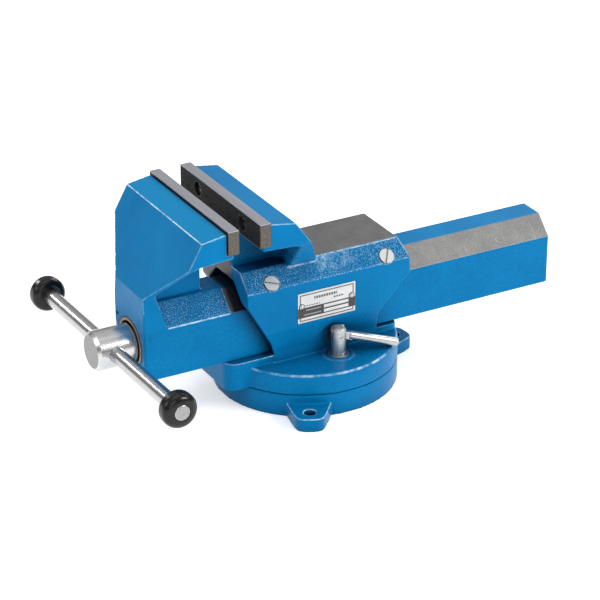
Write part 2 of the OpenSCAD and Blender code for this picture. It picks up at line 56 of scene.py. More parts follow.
class Look:
    """A node material with helpers that add nodes and return their output sockets."""

    def __init__(self, name, **constants):
        self.material = bpy.data.materials.new(name)
        self.material.use_nodes = True
        self.tree = self.material.node_tree
        self.tree.nodes.clear()
        out = self.tree.nodes.new("ShaderNodeOutputMaterial")
        self.shader = self.tree.nodes.new("ShaderNodeBsdfPrincipled")
        self.tree.links.new(self.shader.outputs[0], out.inputs["Surface"])
        for key, value in constants.items():
            self.set(key.replace("_", " "), value)
        self.place = self.add("ShaderNodeTexCoord").outputs["Object"]
        split = self.add("ShaderNodeSeparateXYZ", Vector=self.place)
        self.x, self.y, self.z = split.outputs

    def set(self, socket, value):
        self.feed(self.shader.inputs[socket], value)

    def add(self, kind, props=None, **inputs):
        node = self.tree.nodes.new(kind)
        for key, value in (props or {}).items():
            setattr(node, key, value)
        for key, value in inputs.items():
            self.feed(node.inputs[key.replace("_", " ")], value)
        return node

    def feed(self, target, value):
        if isinstance(value, bpy.types.NodeSocket):
            self.tree.links.new(value, target)
        else:
            target.default_value = value

    def math(self, operation, a, b=0.0):
        node = self.tree.nodes.new("ShaderNodeMath")
        node.operation = operation
        self.feed(node.inputs[0], a)
        self.feed(node.inputs[1], b)
        return node.outputs[0]

    def above(self, value, edge, soft=0.0003):
        """1 where value is over edge, 0 where it is under."""
        node = self.add("ShaderNodeMapRange", {"interpolation_type": "SMOOTHSTEP"}, Value=value)
        node.inputs["From Min"].default_value = edge - soft
        node.inputs["From Max"].default_value = edge + soft
        return node.outputs[0]

    def below(self, value, edge, soft=0.0003):
        return self.above(self.math("MULTIPLY", value, -1.0), -edge, soft)

    def inside(self, value, low, high, soft=0.0003):
        return self.math("SUBTRACT", self.above(value, low, soft), self.above(value, high, soft))

    def times(self, a, b):
        return self.math("MULTIPLY", a, b)

    def outward(self):
        """Distance from the middle plane x = 0."""
        return self.math("ABSOLUTE", self.x)

    def reach(self, a, b):
        """Distance of a point from an axis, from its two offsets."""
        return self.math("SQRT", self.math("ADD", self.times(a, a), self.times(b, b)))

    def facing(self, axis):
        """How far the surface faces along a world axis."""
        normal = self.add("ShaderNodeNewGeometry").outputs["Normal"]
        return self.add("ShaderNodeSeparateXYZ", Vector=normal).outputs[axis]

    def openness(self, distance):
        """1 on open surfaces, towards 0 in crevices narrower than distance."""
        node = self.add("ShaderNodeAmbientOcclusion", {"samples": CREVICE_SAMPLES}, Distance=distance)
        return node.outputs["AO"]

    def every(self, *masks):
        total = masks[0]
        for mask in masks[1:]:
            total = self.math("MULTIPLY", total, mask)
        return total

    def either(self, *masks):
        total = masks[0]
        for mask in masks[1:]:
            total = self.math("MAXIMUM", total, mask)
        return total

    def noise(self, scale, detail=4.0, roughness=0.5, stretch=None):
        place = self.place
        if stretch:
            place = self.add("ShaderNodeMapping", Vector=place, Scale=stretch).outputs[0]
        node = self.add(
            "ShaderNodeTexNoise", Vector=place, Scale=scale, Detail=detail, Roughness=roughness
        )
        return node.outputs[0]

    def spread(self, value, low, high, to_low=0.0, to_high=1.0):
        """value from low..high mapped to to_low..to_high."""
        node = self.add("ShaderNodeMapRange", Value=value)
        for socket, number in (
            ("From Min", low), ("From Max", high), ("To Min", to_low), ("To Max", to_high)
        ):
            node.inputs[socket].default_value = number
        return node.outputs[0]

    def blend(self, factor, a, b):
        """Colour a where factor is 0, colour b where it is 1."""
        node = self.add("ShaderNodeMix", {"data_type": "RGBA"})
        self.feed(node.inputs[0], factor)
        self.feed(node.inputs[6], a if isinstance(a, bpy.types.NodeSocket) else (*a, 1))
        self.feed(node.inputs[7], b if isinstance(b, bpy.types.NodeSocket) else (*b, 1))
        return node.outputs[2]

    def bump(self, height, distance):
        return self.add("ShaderNodeBump", Height=height, Strength=1.0, Distance=distance).outputs[0]


# Linear colours
PAINT = (0.0010, 0.156, 0.378)
PAINT_LIGHT = (0.0015, 0.184, 0.425)
# Paint of the jaw's top slope, made lighter as painted light
PAINT_LIT_SLOPE = (0.002, 0.215, 0.455)
PAINT_EDGE_RUB_AND_HIGHLIGHT = (0.58, 0.78, 0.92)
PAINT_GLINT = (0.50, 0.74, 0.90)
PAINT_DEEP = (0.001, 0.050, 0.140)
SHADE = (0.001, 0.012, 0.035)
SHEEN = (0.06, 0.42, 1.0)
DARK = (0.010, 0.010, 0.011)
WHITE = (1.0, 1.0, 1.0)

# Paint, in metres where it is a length
PAINT_RELIEF = 0.0006
PAINT_CREVICE = 0.055
# Pale edges are partly rubbed paint and partly painted highlight, stronger where they face up: the upward
# range, the sideways share and less round the nuts
UPWARD_EDGE_HIGHLIGHT = (0.25, 0.60)
SIDEWAYS_RUB_AND_HIGHLIGHT = 0.38
NUT_ZONE_Z = (0.0490, 0.0566)
NUT_ZONE_RUB_AND_HIGHLIGHT = 0.12
BARE_ROUGHNESS = 0.44
BARE_METALLIC = 0.35


def painted(name, bare=None, coarse=None, dark=None, iron=(0.12, 0.17), speckle=0.3,
            grain_top=1.0, sharp_from=1.0, rim_highlights=None, lit_slope_from=None, deep=None):
    """Blue paint on cast iron.

    Masks: bare is machined iron, coarse is rough casting, dark is near-black bores and on the jaw painted
    shadow with some grime, the rim mask paints highlights along rims, and deep is a hollow given deeper
    painted shade.
    The fine grain ends at height grain_top. Edges are painted pale, partly as rubbed paint and partly as
    painted highlight, most where they face up, and edges that face sideways get it too above sharp_from.
    Above the given height the jaw's top slope is painted lighter, as painted light.
    """
    look = Look(name, Coat_Weight=0.03, Coat_Roughness=0.08, Specular_IOR_Level=0.12)
    cloud = look.noise(14.0, 3.0)
    colour = look.blend(look.spread(cloud, 0.35, 0.65), PAINT, PAINT_LIGHT)
    # Painted light: above this height the jaw's top slope is painted lighter, as if it catches more light
    if lit_slope_from:
        thin = look.times(look.above(look.z, lit_slope_from, 0.0005), 0.8)
        colour = look.blend(thin, colour, PAINT_LIT_SLOPE)
    mottle = look.every(
        look.spread(look.noise(520.0, 3.0, 0.7), 0.60, 0.40, 0.0, 0.24), look.below(look.z, grain_top, 0.002)
    )
    colour = look.blend(mottle, colour, PAINT_DEEP)
    # Edges painted pale: partly rubbed paint, partly painted highlight where light from above would catch
    # them
    edge = look.add("ShaderNodeAttribute", {"attribute_name": "wear"}).outputs["Fac"]
    patchy = look.spread(look.noise(160.0), 0.36, 0.60, 0.35, 1.0)
    upward = look.spread(look.facing("Z"), *UPWARD_EDGE_HIGHLIGHT)
    sideways = look.times(look.above(look.z, sharp_from, 0.001), SIDEWAYS_RUB_AND_HIGHLIGHT)
    near_nut = look.inside(look.z, *NUT_ZONE_Z)
    rub_and_highlight = look.every(
        edge, patchy, look.either(upward, sideways), look.spread(near_nut, 0, 1, 1.0, NUT_ZONE_RUB_AND_HIGHLIGHT)
    )
    # Painted highlights along rims, in the pale edge colour
    if rim_highlights:
        rub_and_highlight = look.either(rub_and_highlight, look.times(rim_highlights(look), patchy))
    colour = look.blend(rub_and_highlight, colour, PAINT_EDGE_RUB_AND_HIGHLIGHT)
    tint = SHEEN
    height = look.times(look.noise(480.0, 3.0, 0.6), 0.22)
    roughness = look.spread(look.noise(60.0), 0.3, 0.7, 0.26, 0.38)
    if coarse:
        mask = coarse(look)
        lumps = look.noise(900.0, 3.0, 0.75)
        height = look.math("ADD", height, look.times(mask, look.times(lumps, 1.5)))
        hollows = look.every(mask, look.spread(lumps, 0.50, 0.36, 0.0, 0.6))
        colour = look.blend(hollows, colour, PAINT_DEEP)
        patches = look.spread(look.noise(28.0, 2.0), 0.35, 0.62, 0.45, 1.2)
        glints = look.every(mask, patches, look.spread(lumps, 0.54, 0.65, 0.0, 0.65))
        colour = look.blend(glints, colour, PAINT_GLINT)
        roughness = look.math("SUBTRACT", roughness, look.times(mask, 0.08))
    if bare:
        mask = bare(look)
        colour = look.blend(mask, colour, bare_iron(look, *iron, speckle))
        roughness = look.math(
            "ADD", look.times(roughness, look.math("SUBTRACT", 1.0, mask)), look.times(mask, BARE_ROUGHNESS)
        )
        look.set("Metallic", look.times(mask, BARE_METALLIC))
        tint = look.blend(mask, SHEEN, WHITE)
        height = look.times(height, look.spread(mask, 0, 1, 1.0, 0.25))
    if dark:
        colour = look.blend(dark(look), colour, DARK)
    open_sky = look.openness(PAINT_CREVICE)
    shaded = look.spread(open_sky, 0.22, 0.58, 0.93, 0.0)
    if deep:
        shaded = look.either(shaded, look.every(deep(look), look.spread(open_sky, 0.30, 0.98, 1.0, 0.0)))
    look.set("Base Color", look.blend(shaded, colour, SHADE))
    look.set("Specular Tint", tint if isinstance(tint, bpy.types.NodeSocket) else (*tint, 1))
    look.set("Roughness", roughness)
    look.set("Normal", look.bump(height, PAINT_RELIEF))
    return look.material


def bare_iron(look, low, high, speckle):
    """Machined cast iron between two greys, with dark specks and pale scratches."""
    middle = (low + high) / 2
    cloudy = look.spread(look.noise(45.0, 3.0, 0.6), 0.35, 0.65)
    specks = look.spread(look.noise(900.0, 3.0, 0.7), 0.42, 0.70, 0.0, speckle)
    scratches = look.spread(look.noise(70.0, 2.0, 0.6, stretch=(0.12, 4.0, 1.0)), 0.66, 0.72, 0.0, 0.35)
    tone = look.blend(cloudy, (middle * 0.9,) * 3, (middle * 1.1, middle * 1.1, middle * 1.08))
    tone = look.blend(specks, tone, (low * 0.45, low * 0.42, low * 0.38))
    return look.blend(scratches, tone, (high * 1.5,) * 3)


# Zones of the castings in metres, measured in the photo. A range is (low, high) or (low, high, softness).
HOUSING_FRONT_Y, BLOCK_FRONT_X, BLOCK_FLOOR_Z = -0.0964, 0.0150, 0.0585
ANVIL_Z, ANVIL_FROM_Y = (0.1570, 0.1582), -0.0083
PASSAGE_HALF, PASSAGE_SUM = 0.0455, 0.1640
PASSAGE_Y, PASSAGE_Z = (-0.0955, 0.0985), (0.0580, 0.1430)
THROAT_FROM_Z, THROAT_TO_Z, THROAT_TO_Y, THROAT_COARSE = 0.1655, 0.2040, -0.0400, 0.35
SHOULDER_SUM, SHOULDER_Z = 0.1898, (0.1385, 0.1569, 0.0006)
DISC_RIM_R, DISC_RIM_Z = (0.0983, 0.1001, 0.0004), (0.0466, 0.0489, 0.0005)
PANEL_Y, PANEL_Z = (-0.1880, -0.1090, 0.0006), (0.1142, 0.1362, 0.0006)
PANEL_LEAN, PANEL_START = 0.28, -0.1494
PANEL_RIM_Y, PANEL_RIM_Z = (-0.1805, -0.1085, 0.001), (0.1130, 0.1144, 0.0004)
CREASE_Y, CREASE_FROM_Z = (-0.1667, -0.1655, 0.0002), 0.2263
SLIDE_TOP_HALF = 0.0150
SLOPE_SUM, SLOPE_FROM_Y, SLOPE_Z, SLOPE_HALF = 0.1482, -0.1078, (0.1135, 0.1343), 0.0148
CHANNEL_HALF, CHANNEL_Z = 0.0265, (0.050, 0.1165)
CHANNEL_FROM_Y, CHANNEL_TO_Y = -0.1822, 0.2880
# Painted shadow where the slide enters the housing, and below it painted shadow mixed with grime
OPENING_SHADOW_Y, OPENING_SHADOW_FROM_Z, OPENING_SHADOW = (-0.1055, -0.0500, 0.0035), 0.1138, 0.96
SHADOW_GRIME_LEAN, SHADOW_GRIME_RAMP, SHADOW_GRIME_TO_Y = 0.586, (-0.0380, -0.0245, 0.0, 0.75), -0.0600

# Painted highlights on the body: y range, z range, least distance from x = 0, the noise that breaks them up
# and how it is spread. They are the shoulder's lower rim, a painted reflection at the fixed jaw's foot, a
# streak in front of the foot and the anvil's rim.
BODY_RIM_HIGHLIGHTS = (
    ((-0.096, 0.099, 0.001), (0.1374, 0.1389, 0.0004), 0.048, (500.0,), (0.45, 0.60, 0.0, 0.55)),
    ((-0.006, 0.030, 0.008), (0.1440, 0.1566, 0.0030), 0.034, (70.0, 5.0, 0.7), (0.44, 0.58, 0.0, 0.50)),
    ((-0.042, -0.008, 0.003), (0.1522, 0.1542, 0.0004), 0.034, (160.0, 3.0, 0.6), (0.40, 0.52, 0.0, 0.80)),
    ((-0.006, 0.093, 0.001), (0.1559, 0.1570, 0.0002), 0.034, (200.0,), (0.35, 0.50, 0.2, 0.75)),
)


def shoulder_sum(look):
    """Constant over a 45 degree shoulder."""
    return look.math("ADD", look.outward(), look.z)


def body_bare(look):
    """The anvil and the machined front of the housing."""
    top = look.every(look.inside(look.z, *ANVIL_Z), look.above(look.y, ANVIL_FROM_Y))
    face = look.every(
        look.below(look.y, HOUSING_FRONT_Y), look.below(look.x, BLOCK_FRONT_X),
        look.above(look.z, BLOCK_FLOOR_Z),
    )
    return look.either(top, face)


def body_dark(look):
    """The passage for the slide, coloured near black."""
    return look.every(
        look.below(look.outward(), PASSAGE_HALF), look.inside(look.z, *PASSAGE_Z),
        look.inside(look.y, *PASSAGE_Y), look.below(shoulder_sum(look), PASSAGE_SUM),
    )


def throat(look):
    """The hollow under the fixed jaw."""
    return look.every(
        look.above(look.z, THROAT_FROM_Z, 0.0075), look.below(look.z, THROAT_TO_Z, 0.001),
        look.below(look.y, THROAT_TO_Y, 0.002),
    )


def body_coarse(look):
    """The rough shoulders, and more faintly the throat."""
    shoulder = look.every(
        look.above(shoulder_sum(look), SHOULDER_SUM, 0.0006), look.inside(look.z, *SHOULDER_Z)
    )
    return look.either(shoulder, look.times(throat(look), THROAT_COARSE))


def body_rim_highlights(look):
    """Painted highlights on rims: below and on the rough shoulder, round the anvil and round the disc."""
    rim_glints = [
        look.every(
            look.inside(look.y, *y), look.inside(look.z, *z), look.above(look.outward(), least),
            look.spread(look.noise(*noise), *breaks),
        )
        for y, z, least, noise, breaks in BODY_RIM_HIGHLIGHTS
    ]
    disc_rim = look.every(
        look.inside(look.reach(look.x, look.y), *DISC_RIM_R), look.inside(look.z, *DISC_RIM_Z),
        look.spread(look.noise(60.0, 3.0, 0.6), 0.40, 0.58, 0.10, 0.75),
    )
    return look.either(*rim_glints, disc_rim)


def jaw_rim_highlights(look):
    """Painted highlights on the lower rim of the rough panel on the slide and on the crease at the top of the
    front slope.
    """
    rim = look.every(
        look.inside(look.z, *PANEL_RIM_Z), look.inside(look.y, *PANEL_RIM_Y),
        look.above(look.outward(), SLIDE_TOP_HALF),
    )
    crease = look.every(look.inside(look.y, *CREASE_Y), look.above(look.z, CREASE_FROM_Z, 0.0002))
    return look.either(rim, crease)


def jaw_bare(look):
    """The machined slopes of the slide."""
    return look.every(
        look.above(shoulder_sum(look), SLOPE_SUM), look.above(look.y, SLOPE_FROM_Y),
        look.inside(look.z, *SLOPE_Z), look.above(look.outward(), SLOPE_HALF),
    )


def jaw_coarse(look):
    """The rough panel in front of the slopes, whose front edge leans."""
    lean = look.math("ADD", look.y, look.times(look.z, PANEL_LEAN))
    return look.every(
        look.above(lean, PANEL_START), look.inside(look.y, *PANEL_Y), look.inside(look.z, *PANEL_Z),
        look.above(look.outward(), SLIDE_TOP_HALF),
    )


def jaw_dark(look):
    """The slide's inner channel, painted shadow on the slopes where they enter the housing, and below them
    painted shadow mixed with grime.
    """
    channel = look.every(
        look.below(look.outward(), CHANNEL_HALF), look.inside(look.z, *CHANNEL_Z),
        look.above(look.y, CHANNEL_FROM_Y), look.below(look.y, CHANNEL_TO_Y, 0.004),
    )
    # Painted shadow on the slopes where the slide enters the housing
    opening_shadow = look.every(look.inside(look.y, *OPENING_SHADOW_Y), look.above(look.z, OPENING_SHADOW_FROM_Z, 0.0008))
    # Below the slopes: painted shadow from the housing mixed with grime, fading along a slanting line
    lean = look.math("ADD", look.y, look.times(look.z, SHADOW_GRIME_LEAN))
    shadow_and_grime = look.every(
        look.spread(lean, *SHADOW_GRIME_RAMP), look.below(look.z, OPENING_SHADOW_FROM_Z),
        look.below(look.y, SHADOW_GRIME_TO_Y, 0.004), look.spread(look.noise(420.0, 3.0, 0.7), 0.35, 0.60, 0.6, 1.0),
    )
    return look.either(channel, look.times(opening_shadow, OPENING_SHADOW), shadow_and_grime)


METAL_CREVICE = 0.004
METAL_RELIEF = 0.009
TURNED_RELIEF = 0.00003
PLATE_RELIEF = 0.0003
PRINT_RELIEF = 0.00002
PLASTIC_RELIEF = 0.00004
PLATE_TOP_SKIN, PLATE_END_SKIN = 0.0007, 0.0009
# Painted shadow round each rivet head: its width and softness
RIVET_SHADOW_RING, RIVET_SHADOW_SOFT = 0.0007, 0.0001


def metal(name, colour, roughness, wear=0.15, scale=300.0, crevice_shade=0.6, end_shade=None, marks=1.0):
    """Bare or plated metal with fine marks and painted shade in its crevices; the end grey, when given,
    paints a bar's end faces darker as painted shade, with a speckle.
    """
    look = Look(name, Metallic=1.0)
    fine = look.noise(scale, 4.0, 0.65)
    cloud = look.noise(38.0, 3.0)
    dull = tuple(c * (1 - wear * 1.8) for c in colour)
    tone = look.blend(look.spread(fine, 0.35, 0.7), colour, dull)
    tone = look.blend(look.spread(cloud, 0.4, 0.7, 0.0, 0.35), tone, tuple(c * 0.8 for c in colour))
    # Painted shade in crevices, darkening towards black
    tone = look.blend(look.spread(look.openness(METAL_CREVICE), 0.30, 0.75, crevice_shade, 0.0), tone, DARK)
    # Painted shade: end faces along X darkened to the given grey, with a speckle
    if end_shade:
        end = look.above(look.math("ABSOLUTE", look.facing("X")), 0.93, 0.04)
        end_speckle = look.spread(look.noise(700.0, 3.0, 0.7), 0.35, 0.65)
        tone = look.blend(end, tone, look.blend(end_speckle, (end_shade * 0.7,) * 3, (end_shade,) * 3))
    smooth, rough = roughness * (1 - 0.25 * marks), roughness * (1 + 0.3 * marks)
    look.set("Base Color", tone)
    look.set("Roughness", look.spread(fine, 0.3, 0.7, smooth, rough))
    look.set("Normal", look.bump(fine, marks * METAL_RELIEF / scale))
    return look.material


def turned_look(name, tint, face_shade, roughness, centre_z):
    """Lathe-turned steel: fine rings around the axis along Y, with its end face painted darker as painted
    shade.
    """
    look = Look(name, Metallic=1.0, Anisotropic=0.55)
    reach = look.reach(look.x, look.math("SUBTRACT", look.z, centre_z))
    rings = look.add("ShaderNodeCombineXYZ", X=reach, Y=look.y)
    fine = look.add(
        "ShaderNodeTexNoise", Vector=rings.outputs[0], Scale=1500.0, Detail=3.0, Roughness=0.7
    ).outputs[0]
    # Painted shade: the end face facing -Y is given a darker grey
    end = look.below(look.facing("Y"), -0.9, 0.05)
    tone = look.blend(end, (tint,) * 3, (face_shade,) * 3)
    tone = look.blend(look.spread(fine, 0.50, 0.75, 0.0, 0.5), tone, (tint * 0.6,) * 3)
    look.set("Base Color", tone)
    look.set("Roughness", look.spread(fine, 0.3, 0.7, roughness * 0.85, roughness * 1.25))
    look.set("Normal", look.bump(fine, TURNED_RELIEF))
    tangent = look.add("ShaderNodeTangent", {"direction_type": "RADIAL", "axis": "Y"})
    look.set("Tangent", tangent.outputs[0])
    return look.material


def jaw_plate_look():
    """Hardened jaw plate: ground top, dark serrated face, rough brown-grey ends."""
    look = Look("jaw_plate_steel", Metallic=0.75)
    top_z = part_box("fixed_jaw_plate")[1].z
    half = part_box("fixed_jaw_plate")[1].x
    fine = look.noise(520.0, 4.0, 0.7)
    lines = look.noise(160.0, 3.0, 0.6, stretch=(0.15, 6.0, 1.0))
    ground = look.blend(look.spread(lines, 0.3, 0.7), (0.36, 0.37, 0.41), (0.46, 0.47, 0.51))
    rough = look.blend(look.spread(fine, 0.35, 0.7), (0.085, 0.075, 0.065), (0.17, 0.15, 0.13))
    black = look.blend(look.spread(fine, 0.4, 0.8), (0.018, 0.018, 0.018), (0.05, 0.05, 0.05))
    top = look.above(look.z, top_z - PLATE_TOP_SKIN)
    end = look.above(look.outward(), half - PLATE_END_SKIN)
    colour = look.blend(top, look.blend(end, black, rough), ground)
    look.set("Base Color", colour)
    look.set("Roughness", look.spread(top, 0, 1, 0.55, 0.36))
    look.set("Normal", look.bump(look.times(fine, look.spread(top, 0, 1, 1.0, 0.1)), PLATE_RELIEF))
    return look.material


def name_plate_look():
    """Printed metal plate: pale upper half in a thin frame, dark band with two blank boxes, pale foot."""
    low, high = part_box("name_plate")
    look = Look("name_plate_print", Metallic=0.35, Roughness=0.32, Coat_Weight=0.2)
    u = look.math("DIVIDE", look.math("SUBTRACT", look.y, low.y), high.y - low.y)
    v = look.math("DIVIDE", look.math("SUBTRACT", look.z, low.z), high.z - low.z)

    def box(u0, u1, v0, v1, soft=0.006):
        return look.every(look.inside(u, u0, u1, soft), look.inside(v, v0, v1, soft))

    frame_line = look.math("SUBTRACT", box(0.030, 0.970, 0.05, 0.95), box(0.050, 0.950, 0.09, 0.91))
    band = box(0.0, 1.0, 0.165, 0.50)
    boxes = look.either(box(0.45, 0.88, 0.355, 0.455), box(0.45, 0.88, 0.205, 0.305))
    ticks = look.either(
        box(0.28, 0.68, 0.735, 0.820), box(0.62, 0.80, 0.620, 0.675), box(0.10, 0.38, 0.540, 0.575),
    )
    dashes = look.math("GREATER_THAN", look.math("FRACT", look.times(u, 38.0)), 0.35)
    strokes = look.math("GREATER_THAN", look.math("FRACT", look.times(u, 23.0)), 0.28)
    labels = look.every(
        look.either(box(0.14, 0.40, 0.385, 0.425), box(0.10, 0.40, 0.235, 0.275)), dashes
    )
    pale = look.blend(look.spread(look.noise(90.0), 0.3, 0.7), (0.52, 0.52, 0.52), (0.62, 0.62, 0.61))
    ink = (0.030, 0.030, 0.032)
    colour = look.blend(look.times(ticks, look.times(strokes, 0.95)), pale, ink)
    colour = look.blend(band, colour, ink)
    colour = look.blend(look.times(labels, 0.6), colour, pale)
    colour = look.blend(boxes, colour, pale)
    colour = look.blend(look.times(frame_line, 0.9), colour, ink)
    rivet_low, rivet_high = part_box("name_plate_rivets")
    rivet_r = (rivet_high.z - rivet_low.z) / 2
    along = look.math("ABSOLUTE", look.math("SUBTRACT", look.y, (rivet_low.y + rivet_high.y) / 2))
    along = look.math("SUBTRACT", along, (rivet_high.y - rivet_low.y) / 2 - rivet_r)
    across = look.math("SUBTRACT", look.z, (rivet_low.z + rivet_high.z) / 2)
    # Painted shadow: a dark disc under each rivet, showing as a ring round its head
    rivet_shadow = look.inside(look.reach(along, across), 0.0, rivet_r + RIVET_SHADOW_RING, RIVET_SHADOW_SOFT)
    colour = look.blend(rivet_shadow, colour, ink)
    look.set("Base Color", colour)
    look.set("Normal", look.bump(look.noise(400.0), PRINT_RELIEF))
    return look.material


def plastic_look():
    """Glossy black plastic of the bar's knobs."""
    look = Look("knob_plastic", Coat_Weight=0.1, Coat_Roughness=0.10, Specular_IOR_Level=0.30)
    fine = look.noise(260.0, 3.0, 0.6)
    black = look.blend(look.spread(fine, 0.4, 0.8), (0.003, 0.003, 0.0035), (0.007, 0.007, 0.008))
    look.set("Base Color", black)
    look.set("Roughness", look.spread(look.noise(80.0), 0.3, 0.7, 0.18, 0.30))
    look.set("Normal", look.bump(fine, PLASTIC_RELIEF))
    return look.material


HEAD_LOW, HEAD_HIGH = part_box("lead_screw")
HEAD_Z = (HEAD_LOW.z + HEAD_HIGH.z) / 2
LOOKS = {
    "body": painted(
        "blue_paint_body", body_bare, body_coarse, body_dark, grain_top=0.157, rim_highlights=body_rim_highlights, deep=throat
    ),
    "jaw": painted(
        "blue_paint_jaw", jaw_bare, jaw_coarse, jaw_dark, iron=(0.20, 0.30), speckle=0.7,
        grain_top=0.1138, sharp_from=0.1365, rim_highlights=jaw_rim_highlights, lit_slope_from=0.2272
    ),
    "base": painted("blue_paint_base"),
    "plate": jaw_plate_look(),
    "zinc": metal("zinc_plate", (0.52, 0.53, 0.53), 0.36, wear=0.10, crevice_shade=0.35),
    "chrome": metal("turned_bar", (0.50, 0.50, 0.51), 0.25, wear=0.05, marks=0.05, end_shade=0.36),
    "head": turned_look("turned_head", tint=0.60, face_shade=0.22, roughness=0.22, centre_z=HEAD_Z),
    "dark": metal("black_oxide", (0.10, 0.10, 0.10), 0.42),
    "iron": metal("machined_iron", (0.34, 0.34, 0.34), 0.45, wear=0.2, scale=500.0),
    "bronze": metal("dull_bronze", (0.36, 0.27, 0.20), 0.38, wear=0.2),
    "plastic": plastic_look(),
    "print": name_plate_look(),
}


# ------------------------------------------------------------------- meshes

WELD = 2e-6
AXIS_Y = Vector((0, 1, 0))
ROUND_SPREAD = 0.4 * MM
END_DOT, SIDE_DOT = 0.9, 0.97
BEVEL_PLANE, BEVEL_EDGE = math.radians(0.6), math.radians(32)

# Castings: what counts as flat, where edges lie and how far their pale edge line reaches, which is partly
# rubbed paint and partly painted highlight
FLAT_GAP = 1.2 * MM
FLAT_AREA = 300 * MM * MM
FLAT_DOT = 0.60
FLAT_ANGLE = math.radians(0.5)
EDGE_CLEAR = 1.7 * MM
EDGE_ANGLE = math.radians(24)
EDGE_STEP = 0.6 * MM
EDGE_NEAR, EDGE_FAR = 0.7 * MM, 1.2 * MM
VOXEL = 0.0012
KEEP = 0.22


def dress(piece, look):
    piece.data.materials.clear()
    piece.data.materials.append(LOOKS[look])


def finish_piece(piece, look, body, node):
    """Puts a look on a piece, hangs it on the body it rides on and hides the CAD node it takes the place of.
    """
    dress(piece, look)
    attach(piece, body)
    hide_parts(node)


def object_from(mesh, name):
    piece = bpy.data.objects.new(name, mesh)
    bpy.context.scene.collection.objects.link(piece)
    return piece


def welded_copy(node, name):
    """A copy of a CAD node's mesh with shared corners joined."""
    mesh = bpy.data.meshes.new(name)
    work = bmesh.new()
    work.from_mesh(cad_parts[node].data)
    bmesh.ops.remove_doubles(work, verts=work.verts, dist=WELD)
    work.to_mesh(mesh)
    work.free()
    return object_from(mesh, name)


def apply_modifiers(piece):
    depsgraph = bpy.context.evaluated_depsgraph_get()
    mesh = bpy.data.meshes.new_from_object(piece.evaluated_get(depsgraph))
    old = piece.data
    piece.modifiers.clear()
    piece.data = mesh
    bpy.data.meshes.remove(old)
    return piece


def shade(piece, keep_flat=False):
    """Smooth shading whose normals follow the large faces; keep_flat leaves faces marked flat as they are."""
    if not keep_flat:
        for face in piece.data.polygons:
            face.use_smooth = True
    weighted = piece.modifiers.new("normals", "WEIGHTED_NORMAL")
    weighted.weight = 100
    weighted.keep_sharp = keep_flat
    return apply_modifiers(piece)


def true_round(piece, axis_point, radius, axis=AXIS_Y):
    """Exact normals on a cylinder, so its highlights run straight from end to end."""
    mesh = piece.data
    normals = [Vector(corner.vector) for corner in mesh.corner_normals]
    for face in mesh.polygons:
        if abs(face.normal.dot(axis)) > END_DOT:
            for i in face.loop_indices:
                normals[i] = face.normal.copy()
            continue
        for i in face.loop_indices:
            out = mesh.vertices[mesh.loops[i].vertex_index].co - axis_point
            out -= axis * out.dot(axis)
            if abs(out.length - radius) < ROUND_SPREAD and face.normal.dot(out.normalized()) > SIDE_DOT:
                normals[i] = out.normalized()
    mesh.normals_split_custom_set(normals)
    return piece


def cast_copy(node, name):
    """A copy of a casting with every edge rounded, as cast iron under paint has."""
    piece = welded_copy(node, name)
    remesh = piece.modifiers.new("remesh", "REMESH")
    remesh.mode = "VOXEL"
    remesh.voxel_size = VOXEL
    smooth = piece.modifiers.new("smooth", "SMOOTH")
    smooth.factor = 0.5
    smooth.iterations = 2
    thin = piece.modifiers.new("thin", "DECIMATE")
    thin.ratio = KEEP
    apply_modifiers(piece)
    return shade(piece)


def bevelled_copy(node, name, width):
    """A copy of a small part with its sharp edges broken."""
    piece = welded_copy(node, name)
    work = bmesh.new()
    work.from_mesh(piece.data)
    bmesh.ops.dissolve_limit(
        work, angle_limit=BEVEL_PLANE, verts=work.verts, edges=work.edges
    )
    work.to_mesh(piece.data)
    work.free()
    bevel = piece.modifiers.new("bevel", "BEVEL")
    bevel.width = width
    bevel.segments = 2
    bevel.limit_method = "ANGLE"
    bevel.angle_limit = BEVEL_EDGE
    apply_modifiers(piece)
    return shade(piece)


def spots_tree(edges):
    """A search tree of points spaced along edges."""
    spots = []
    for edge in edges:
        start, end = (vertex.co for vertex in edge.verts)
        count = max(1, int((end - start).length / EDGE_STEP))
        spots += [start.lerp(end, (i + 0.5) / count) for i in range(count)]
    tree = KDTree(len(spots))
    for i, spot in enumerate(spots):
        tree.insert(spot, i)
    tree.balance()
    return tree


